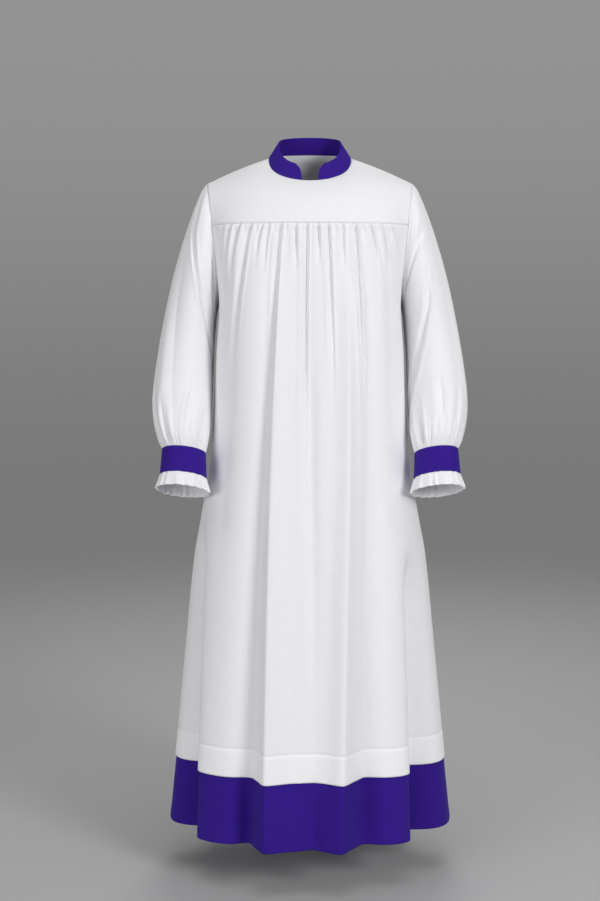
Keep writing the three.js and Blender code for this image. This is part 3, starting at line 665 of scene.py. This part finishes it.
def sleeve_section(row):
    outer = Vector((row["outer_x"], row["y"], row["outer_z"]))
    inner = Vector((row["inner_x"], row["y"], row["inner_z"]))
    return (outer + inner) / 2, (outer - inner) / 2, forward(row["tilt"]) * row["depth"]


def cuff_section(distance, inset=0.0):
    down = distance / CUFF_LENGTH
    width = lerp(CUFF_TOP["half_width"], CUFF_FOOT["half_width"], down) - inset
    depth = lerp(CUFF_TOP["half_depth"], CUFF_FOOT["half_depth"], down) - inset
    wide = Vector((CUFF_TOP["half_width"], 0, CUFF_RISE)).normalized() * width
    return CUFF_TOP["middle"].lerp(CUFF_FOOT["middle"], down), wide, forward(CUFF_TILT) * depth


def ring_point(section, angle):
    middle, wide, deep = section
    turn = math.radians(angle)
    return middle + wide * math.cos(turn) + deep * math.sin(turn)


def sleeve_top(angle):
    face, own = (front, angle) if angle <= 180 else (back, 360 - angle)
    return face.armhole(own) + Vector((SEAM, 0, 0))


print("cuff length:", round(CUFF_LENGTH), "mm")

# %% Folds and creases of the sleeves
# A place on a sleeve is a row, from 0 at the armhole to 9 at the cuff, and an angle round it:
# 0 outside, 90 in front, 180 at the body, 270 behind. A crease is a line through such places.
left_sleeve_creases = table(
    "path depth width",
    (((2.5, 80), (3.05, 90), (3.5, 107), (4.5, 132), (5.8, 168)), 6.5, 9),
    (((1.5, 58), (1.25, 92), (0.8, 150)), 5.0, 9), (((0.25, 52), (0.4, 84), (0.35, 112)), 3.0, 7),
    (((1.0, 24), (2.6, 40), (4.4, 48), (6.2, 46)), 3.0, 26), (((5.1, 88), (6.9, 87)), 4.0, 8),
    (((5.7, 50), (7.2, 53)), 3.2, 8), (((6.0, 134), (8.6, 130)), 5.6, 9),
    (((6.6, 158), (8.8, 156)), 5.0, 8), (((0.3, 230), (1.8, 214), (3.4, 196)), 6.0, 11),
    (((1.0, 262), (2.8, 250), (5.0, 236)), 6.0, 13), (((2.2, 306), (4.4, 300), (6.6, 302)), 4.0, 22),
    (((5.4, 266), (7.6, 262)), 4.4, 9), (((6.0, 226), (8.4, 228)), 5.0, 9),
    (((5.8, 322), (7.8, 320)), 3.6, 9),
)
right_sleeve_creases = table(
    "path depth width",
    (((0.8, 28), (1.7, 44), (2.35, 95), (3.7, 152), (4.4, 170)), 5.5, 8),
    (((0.3, 98), (1.0, 125), (2.4, 165)), 6.5, 9),
    (((2.4, 48), (4.4, 67), (5.8, 74), (7.6, 80)), 5.0, 26),
    (((5.4, 112), (6.8, 104), (8.6, 97)), 5.0, 10), (((6.2, 52), (8.4, 54)), 4.0, 9),
    (((6.5, 140), (8.7, 142)), 4.6, 8), (((5.6, 24), (7.6, 28)), 3.4, 10),
    (((0.4, 236), (2.0, 218), (3.6, 200)), 6.0, 11), (((1.4, 270), (3.4, 254), (5.4, 242)), 5.6, 13),
    (((2.0, 312), (4.2, 304), (6.4, 298)), 4.0, 22), (((5.6, 260), (7.9, 264)), 4.6, 9),
    (((6.2, 222), (8.5, 220)), 5.0, 9), (((5.2, 336), (7.4, 332)), 3.6, 9),
)
# Short gathers stand right above the cuff, closest together where the sleeve is fullest.
gather_angles = (4, 19, 31, 42, 52, 60, 67, 75, 82, 90, 97, 104, 111, 118, 125, 133, 141, 150, 163,
                 178, 192, 203, 214, 226, 237, 249, 262, 275, 287, 300, 315, 331, 346)
MM_IN_A_ROW = 56
MM_IN_A_DEGREE = 1.05


def gap_between(angle, other):
    return (angle - other + 540) % 360 - 180


def beside_path(path, row, angle):
    """How far a place lies beside a crease, in mm, and how far along it, from 0 to 1."""
    best, along = None, 0
    steps = len(path) - 1
    for k, ((row0, angle0), (row1, angle1)) in enumerate(zip(path, path[1:])):
        ax, ay = (row1 - row0) * MM_IN_A_ROW, (angle1 - angle0) * MM_IN_A_DEGREE
        bx, by = (row - row0) * MM_IN_A_ROW, gap_between(angle, angle0) * MM_IN_A_DEGREE
        raw = (bx * ax + by * ay) / (ax * ax + ay * ay)
        t = clamp(raw, 0 if k else -0.3, 1 if k < steps - 1 else 1.3)
        gap = math.copysign(math.hypot(bx - ax * t, by - ay * t), ax * by - ay * bx)
        if best is None or abs(gap) < abs(best):
            best, along = gap, (k + t) / steps
    return best, along


def sleeve_relief(creases, row, angle):
    relief = 0
    for crease in creases:
        if -1.2 < row - min(p[0] for p in crease["path"]) < 6:
            gap, along = beside_path(crease["path"], row, angle)
            if abs(gap) < 3.5 * crease["width"]:
                fade = smooth(along, -0.25, 0.3) * (1 - smooth(along, 0.72, 1.25))
                relief -= crease["depth"] * fade * trough(-gap, crease["width"])
    return relief + gather_relief(row, angle)


def gather_relief(row, angle):
    """Each gather above the cuff is a narrow trough, and each dies out at its own height."""
    if row < 6.4:
        return 0
    relief = 0.9 * smooth(row, 7.2, 8.8)
    for k, middle in enumerate(gather_angles):
        gap = gap_between(angle, middle)
        if abs(gap) < 12:
            start = 7.9 + 0.75 * math.sin(k * 2.4)
            depth = 3.7 + 1.1 * math.sin(k * 1.7 + 1)
            relief -= depth * smooth(row, start - 1.1, start + 0.7) * math.exp(-abs(gap / 2.7) ** 1.4)
    return relief


print("sleeve creases:", len(left_sleeve_creases) + len(right_sleeve_creases))

# %% Both sleeves
IN_CUFF = 0.9  # the sleeve's end lies this much inside the cuff's outer face


def spline(a, b, c, d, t):
    """A smooth curve from b to c, with a and d beyond them."""
    return 0.5 * (2 * b + (c - a) * t + (2 * a - 5 * b + 4 * c - d) * t**2
                  + (3 * b - a - 3 * c + d) * t**3)


def sleeve_line(angle, steps):
    sections = [sleeve_section(row) for row in sleeve_sections] + [cuff_section(-SEAM, IN_CUFF)]
    keys = [sleeve_top(angle)] + [ring_point(section, angle) for section in sections]
    middles = [Vector((SHOULDER.x - 20, SHOULDER.y, ARMHOLE_MIDDLE))] + [s[0] for s in sections]
    for row in steps:
        i = min(int(row), CUFF_ROW - 1)
        at = [clamp(k, 0, CUFF_ROW) for k in (i - 1, i, i + 1, i + 2)]
        point = spline(*(keys[k] for k in at), row - i)
        middle = spline(*(middles[k] for k in at), row - i)
        yield row, point, (point - middle).normalized()


def sided(rows, side):
    """Rows of a left-hand ring, closed, mirrored for the right, to the right from outside."""
    if side < 0:
        return [[Vector((-p.x, p.y, p.z)) for p in row] + [Vector((-row[0].x, *row[0].yz))]
                for row in rows]
    return [[row[0], *row[:0:-1], row[0]] for row in rows]


def sleeve(name, side, creases, columns=300, rows=126):
    """A sleeve whose first rows run in behind the edge of the armhole, and so are hidden."""
    steps = [CUFF_ROW * (k / rows) ** 0.93 for k in range(rows + 1)]
    lines = []
    for j in range(columns):
        angle = 360 * j / columns
        line = []
        for row, point, outwards in sleeve_line(angle, steps):
            hold = smooth(row, 0, 0.7) * lerp(1, 0.3, smooth(row, 8.2, 9))
            hidden = 1 - smooth(row, 0, 0.07)
            point = point + outwards * (hold * sleeve_relief(creases, row, angle) - 1.3 * hidden)
            line.append(point - Vector((1.8 * hidden, 0, 0)))
        lines.append(line)
    grid = [[line[i] for line in lines] for i in range(rows + 1)]
    return thicken(cloth(name, sided(grid, side), (560, 560), ring=True), LINEN)


SIDES = (("left", 1), ("right", -1))
sleeves = {
    "left": sleeve("sleeve_left_cloth", 1, left_sleeve_creases),
    "right": sleeve("sleeve_right_cloth", -1, right_sleeve_creases),
}
print("faces in a sleeve:", len(sleeves["left"].data.polygons))

# %% [markdown]
# ## Cuffs and wrist frills
# A cuff is a band of several layers, pressed flat, with rolled edges. The frill is a strip of
# thin cloth, gathered onto the cuff's lower edge. It is flat where it is sewn, and its waves
# grow towards its own free edge.

# %% Cuffs
CUFF_STEPS = 12


def cuff(name, side, columns=128):
    rows = []
    for k in range(CUFF_STEPS + 1):
        section = cuff_section(CUFF_LENGTH * k / CUFF_STEPS)
        rows.append([ring_point(section, 360 * j / columns) for j in range(columns)])
    return band(name, sided(rows, side), (290, 56), ring=True), rows


cuffs = {side: cuff(f"cuff_{side}_band", sign) for side, sign in SIDES}
print("faces in a cuff:", len(cuffs["left"][0].data.polygons))

# %% Frills
FRILL = {"drop": 30, "flare": 5.5, "waves": 18, "top": 1.0, "bottom": 3.4, "wall": 1.0}
FRILL_STEPS = 14


def frill(name, side, columns=432):
    rows = []
    for k in range(FRILL_STEPS + 1):
        out = k / FRILL_STEPS
        below = lerp(SEAM, FRILL["drop"], out)
        section = cuff_section(CUFF_LENGTH + below, FRILL["wall"] - FRILL["flare"] * out)
        height = lerp(FRILL["top"], FRILL["bottom"], out)
        row = []
        for j in range(columns):
            angle = 360 * j / columns
            turn = math.radians(angle)
            uneven = 0.62 + 0.38 * math.sin(5 * turn + 0.7 * side) * math.sin(3 * turn + 1.9 * side)
            drift = 1.3 * math.sin(3 * turn + side) + 0.9 * math.sin(7 * turn)
            wave = math.cos(FRILL["waves"] * turn + drift)
            point = ring_point(section, angle)
            outwards = (point - section[0]).normalized()
            curl = 0.6 * math.cos(2 * (FRILL["waves"] * turn + drift) + 0.8)
            row.append(point + outwards * height * (wave + curl * 0.4) * uneven)
        rows.append(row)
    return thicken(cloth(name, sided(rows, side), (520, 32), ring=True), FRILL_LINEN)


frills = {side: frill(f"frill_{side}_cloth", sign) for side, sign in SIDES}
print("faces in a frill:", len(frills["left"].data.polygons))

# %% [markdown]
# ## Stitching
# Seen from a step away, a line of stitches is a row of small grains lying in a shallow ditch.
# Each stitch is a low ball, stretched along its line and pressed flat. One mesh holds a line.

# %% Stitches along rows of points
def stitches(name, lines, length=2.0, width=0.42):
    """lines is a list of (points, outwards) pairs; outwards(point) is the cloth's direction."""
    bm = bmesh.new()
    for points, outwards in lines:
        for a, b in zip(points, points[1:]):
            if (b - a).length < 0.5:
                continue
            along = (b - a).normalized()
            out = outwards((a + b) / 2)
            out = (out - along * out.dot(along)).normalized()
            turn = Matrix((along, out.cross(along), out)).transposed().to_4x4()
            size = Matrix.Diagonal((length / 2, width / 2, width / 3, 1))
            place = Matrix.Translation((a + b) / 2 + out * width * 0.2)
            bmesh.ops.create_icosphere(
                bm, subdivisions=1, radius=1, matrix=Matrix.Scale(MM, 4) @ place @ turn @ size)
    for face in bm.faces:
        face.smooth = True
    return finished(name, bm)


def spaced(points, gap):
    """Points at an even distance along a line through the given points."""
    result, left = [points[0]], gap
    for a, b in zip(points, points[1:]):
        step = (b - a).length
        while left < step:
            result.append(a.lerp(b, left / step))
            left += gap
        left -= step
    return result


def from_axis(point):
    return Vector((point.x, point.y, 0)).normalized()


STITCH_GAP = 3.0
BAND_STITCH_GAP = 2.8  # on the stiff collar and cuffs
hem_lines = [(spaced(row[1:-1], STITCH_GAP), from_axis) for row in hem_rows.values()]
hem_stitches = stitches("hem_stitches", hem_lines)

yoke_lines = [(spaced(row[1:-1], STITCH_GAP), from_axis) for row in yoke_seam_rows.values()]
yoke_stitches = stitches("yoke_stitches", yoke_lines, width=0.36)

collar_lines = [(spaced(collar_rows[k], BAND_STITCH_GAP), from_axis) for k in (1, COLLAR_STEPS - 1)]
collar_stitches = stitches("collar_stitches", collar_lines, width=0.36)
print("hem stitches:", len(hem_stitches.data.polygons) // 20)

# %% Stitches of the cuffs
def cuff_stitches(name, side, rows):
    left_middle = cuff_section(CUFF_LENGTH / 2)[0]
    middle = Vector((side * left_middle.x, *left_middle.yz))
    lines = []
    for k in (1, CUFF_STEPS - 1):
        row = sided(rows, side)[k]
        lines.append((spaced(row, BAND_STITCH_GAP), lambda point: point - middle))
    return stitches(name, lines, width=0.36)


wrist_stitches = {side: cuff_stitches(f"cuff_{side}_stitches", sign, cuffs[side][1])
                  for side, sign in SIDES}
print("stitches in a cuff:", len(wrist_stitches["left"].data.polygons) // 20)

# %% [markdown]
# ## Cloth materials
# Both cloths are a plain weave. Two crossed waves, read from the UV map in metres, give its
# grain: each is about 4 mm, a handful of threads, because single threads are too fine to see
# from a few steps away. A noise stretched along the threads gives the uneven yarn, and a very
# slow one the faint cloudiness of cloth that has been washed and pressed.
# Less light passes through two layers of thin cloth than through one, so the hem is whiter.

# %% Nodes for a material
def new_material(name):
    material = bpy.data.materials.new(name)
    material.use_nodes = True
    return material, material.node_tree.nodes, material.node_tree.links


def set_values(node, values):
    for key, value in values.items():
        node.inputs[key].default_value = value


def add(nodes, kind, values=None, **settings):
    """A new node with these settings, and these plain values on its inputs."""
    node = nodes.new("ShaderNode" + kind)
    for key, value in settings.items():
        setattr(node, key, value)
    set_values(node, values or {})
    return node


print("a new node's own name begins with ShaderNode")

# %% A woven material
def woven(name, colour, shade, weave_scale, roughness, sheen, weave_depth, slub_depth):
    """A wave repeats every 0.314 / weave_scale metres; the two depths are in millimetres."""
    material, nodes, links = new_material(name)
    shader = nodes["Principled BSDF"]
    set_values(shader, {"Roughness": roughness, "Specular IOR Level": 0.25,
                        "Sheen Weight": sheen, "Sheen Roughness": 0.45})
    uv = add(nodes, "UVMap", uv_map="cloth").outputs["UV"]

    weave = add(nodes, "Math", operation="MULTIPLY")
    for i, direction in enumerate("XY"):
        band_values = {"Scale": weave_scale, "Distortion": 0.6, "Detail": 1, "Detail Scale": 2}
        wave = add(nodes, "TexWave", band_values, wave_type="BANDS", bands_direction=direction)
        links.new(uv, wave.inputs["Vector"])
        links.new(wave.outputs["Fac"], weave.inputs[i])

    def noise(scale, stretch, detail):
        mapping = add(nodes, "Mapping", {"Scale": stretch})
        made = add(nodes, "TexNoise", {"Scale": scale, "Detail": detail})
        links.new(uv, mapping.inputs["Vector"])
        links.new(mapping.outputs["Vector"], made.inputs["Vector"])
        return made.outputs["Fac"]

    slubs = add(nodes, "Math", operation="ADD")
    links.new(noise(260, (1, 0.12, 1), 2), slubs.inputs[0])
    links.new(noise(260, (0.12, 1, 1), 2), slubs.inputs[1])

    tone = add(nodes, "MapRange", {"From Min": 0.75, "From Max": 1.3})
    clouded = add(nodes, "Math", {1: 0.6}, operation="MULTIPLY_ADD")
    share = add(nodes, "Math", {1: 0.7}, operation="MULTIPLY", use_clamp=True)
    mix = add(nodes, "MixRGB", {"Color1": (*shade, 1), "Color2": (*colour, 1)})
    links.new(slubs.outputs["Value"], tone.inputs["Value"])
    links.new(noise(9, (1, 1, 1), 3), clouded.inputs[0])
    links.new(tone.outputs["Result"], clouded.inputs[2])
    links.new(clouded.outputs["Value"], share.inputs[0])
    links.new(share.outputs["Value"], mix.inputs["Fac"])
    links.new(mix.outputs["Color"], shader.inputs["Base Color"])

    grain = add(nodes, "Bump", {"Strength": 0.5, "Distance": weave_depth * MM})
    yarn = add(nodes, "Bump", {"Strength": 0.6, "Distance": slub_depth * MM})
    links.new(weave.outputs["Value"], grain.inputs["Height"])
    links.new(slubs.outputs["Value"], yarn.inputs["Height"])
    links.new(grain.outputs["Normal"], yarn.inputs["Normal"])
    links.new(yarn.outputs["Normal"], shader.inputs["Normal"])
    return material


white_linen = woven(
    "white linen", (0.84, 0.84, 0.865), (0.81, 0.81, 0.835), 70, 0.86, 0.15, 0.05, 0.03)
violet_cloth = woven(
    "violet cloth", (0.031, 0.005, 0.25), (0.026, 0.004, 0.21), 80, 0.9, 0.03, 0.05, 0.05)
print("materials:", white_linen.name, "and", violet_cloth.name)

# %% Where the hem lies double
def whiter_below(material, z, colour, share):
    """Mixes this share of another colour into a material below a height, within 2 mm."""
    nodes, links = material.node_tree.nodes, material.node_tree.links
    base = nodes["Principled BSDF"].inputs["Base Color"]
    single = base.links[0].from_socket
    coordinates = add(nodes, "TexCoord")
    split = add(nodes, "SeparateXYZ")
    double = add(
        nodes, "MapRange", {"From Min": z * MM, "From Max": (z - 2) * MM, "To Max": share})
    layers = add(nodes, "MixRGB", {"Color2": (*colour, 1)})
    links.new(coordinates.outputs["Object"], split.inputs["Vector"])
    links.new(split.outputs["Z"], double.inputs["Value"])
    links.new(double.outputs["Result"], layers.inputs["Fac"])
    links.new(single, layers.inputs["Color1"])
    links.new(layers.outputs["Color"], base)


whiter_below(white_linen, HEM_FOLD_Z, (0.93, 0.93, 0.95), 0.45)
print("the hem is whiter below", HEM_FOLD_Z, "mm")

# %% Thread materials
def thread_material(name, colour):
    """Sewing thread is smoother than the cloth, so it catches the light a little more."""
    material, nodes, links = new_material(name)
    shader = nodes["Principled BSDF"]
    set_values(shader, {"Roughness": 0.55})
    coordinates = add(nodes, "TexCoord")
    twist = add(nodes, "TexNoise", {"Scale": 900})
    darker = [0.9 * c for c in colour]
    mix = add(nodes, "MixRGB", {"Color1": (*darker, 1), "Color2": (*colour, 1)})
    links.new(coordinates.outputs["Object"], twist.inputs["Vector"])
    links.new(twist.outputs["Fac"], mix.inputs["Fac"])
    links.new(mix.outputs["Color"], shader.inputs["Base Color"])
    return material


white_thread = thread_material("white thread", (0.85, 0.85, 0.88))
violet_thread = thread_material("violet thread", (0.034, 0.010, 0.26))
print("threads:", white_thread.name, "and", violet_thread.name)

# %% [markdown]
# ## Handing each piece to the frame
# Every piece rides on the one body, and each piece of cloth replaces the plain solid that it
# was made from.

# %% Pieces and solids
def settle(piece, node, material, slot, flat=None, held="gathered", area=None, sewn=()):
    piece.data.materials.append(material)
    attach(piece, "root")
    if node:
        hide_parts(node)
    if flat:
        list(sewn)


for piece in (hem_stitches, yoke_stitches):
    settle(piece, None, white_thread, "white_linen")
for piece in (collar_stitches, *wrist_stitches.values()):
    settle(piece, None, violet_thread, "violet_cloth")

WHITE = (white_linen, "white_linen")
VIOLET = (violet_cloth, "violet_cloth")
for name in ("front", "back"):
    settle(bodies[name], f"body_{name}", *WHITE, flat=(0.95, 1.19), area=1.0)
    settle(borders[name], f"border_{name}", *VIOLET, flat=(0.96, 0.16), held="hung")
    settle(yokes[name], f"yoke_{name}", *WHITE, flat=(0.46, 0.2), held="hung", area=0.078)
settle(collar, "collar", *VIOLET, flat=(0.44, 0.05), held="stretched", sewn=[collar_stitches])
for side in ("left", "right"):
    settle(sleeves[side], f"sleeve_{side}", *WHITE, flat=(0.56, 0.55), area=0.24)
    settle(cuffs[side][0], f"cuff_{side}", *VIOLET, flat=(0.29, 0.058), held="stretched")
    settle(frills[side], f"frill_{side}", *WHITE, flat=(0.42, 0.033))

# %% [markdown]
# ## Floor, light and camera
# The gown hangs as it is worn, so the floor lies below it where the wearer would stand. It
# fades away with distance, so that it has no horizon. A big soft lamp on one side shows the
# folds, and weaker ones keep the other side open.

# %% Floor
FLOOR_Z = -1491
FLOOR_RADIUS, FADES_FROM, GONE_AT = 14, 1, 6  # in metres


def pale_floor():
    bm = bmesh.new()
    level = Matrix.Translation((0, 0, FLOOR_Z * MM))
    bmesh.ops.create_circle(bm, cap_ends=True, segments=96, radius=FLOOR_RADIUS, matrix=level)
    floor = finished("floor", bm)
    material, nodes, links = new_material("pale floor")
    shader = nodes["Principled BSDF"]
    set_values(shader, {"Base Color": (0.45, 0.45, 0.455, 1), "Roughness": 0.75})
    clear = add(nodes, "BsdfTransparent")
    mix = add(nodes, "MixShader")
    coordinates = add(nodes, "TexCoord")
    length = add(nodes, "VectorMath", operation="LENGTH")
    fade = add(nodes, "MapRange", {"From Min": FADES_FROM, "From Max": GONE_AT},
               interpolation_type="SMOOTHSTEP")
    links.new(coordinates.outputs["Object"], length.inputs[0])
    links.new(length.outputs["Value"], fade.inputs["Value"])
    links.new(fade.outputs["Result"], mix.inputs["Fac"])
    links.new(shader.outputs["BSDF"], mix.inputs[1])
    links.new(clear.outputs["BSDF"], mix.inputs[2])
    links.new(mix.outputs["Shader"], nodes["Material Output"].inputs["Surface"])
    floor.data.materials.append(material)


pale_floor()
print("floor at", FLOOR_Z, "mm")

# %% Light
LIT_POINT = Vector((0, 0, -0.65))  # about the middle of the gown, in metres


def soft_lamp(name, azimuth, elevation, distance, size, watts):
    """Azimuth 0 is straight in front, and more is towards +X. Distance and size are in metres."""
    a, e = math.radians(azimuth), math.radians(elevation)
    direction = Vector((math.sin(a) * math.cos(e), -math.cos(a) * math.cos(e), math.sin(e)))
    lamp = bpy.data.objects.new(name, bpy.data.lights.new(name, "AREA"))
    lamp.data.shape = "DISK"
    lamp.data.size = size
    lamp.data.energy = watts
    lamp.location = LIT_POINT + direction * distance
    lamp.rotation_euler = direction.to_track_quat("Z", "Y").to_euler()
    bpy.context.scene.collection.objects.link(lamp)


soft_lamp("main soft lamp", 39, 17, 4.2, 1.4, 90)
soft_lamp("fill lamp", -42, 4, 4.4, 2.2, 60)
soft_lamp("lamp overhead", 6, 72, 3.4, 2.0, 20)
soft_lamp("lamp behind", 175, 36, 4.2, 2.2, 48)
print("lamps:", len(bpy.data.lights))

# %% Grey studio round the gown
# The air round the gown is a little darker low down than high up, as in a studio.
world = bpy.data.worlds.new("grey studio")
world.use_nodes = True
sky, joins = world.node_tree.nodes, world.node_tree.links
direction = add(sky, "TexCoord")
height = add(sky, "SeparateXYZ")
grey = add(
    sky, "MapRange", {"From Min": -0.12, "From Max": 0.22, "To Min": 0.19, "To Max": 0.29},
    interpolation_type="SMOOTHSTEP")
joins.new(direction.outputs["Generated"], height.inputs["Vector"])
joins.new(height.outputs["Z"], grey.inputs["Value"])
joins.new(grey.outputs["Result"], sky["Background"].inputs["Color"])
bpy.context.scene.world = world
bpy.context.scene.view_settings.view_transform = "Standard"
print("view transform:", bpy.context.scene.view_settings.view_transform)

# %% Camera
# The camera is level, and its shift brings the foot into view without tilting it.
PICTURE_HEIGHT, SHIFT = 901, 100  # in pixels
camera = bpy.data.objects.new("camera", bpy.data.cameras.new("camera"))
camera.data.lens = 56
camera.data.sensor_width = 36
camera.data.shift_y = -SHIFT / PICTURE_HEIGHT
camera.location = (-0.021, -3.0, -0.411)
camera.rotation_euler = (math.radians(90), 0, 0)
bpy.context.scene.collection.objects.link(camera)
bpy.context.scene.camera = camera
print("camera at", tuple(round(v, 3) for v in camera.location))
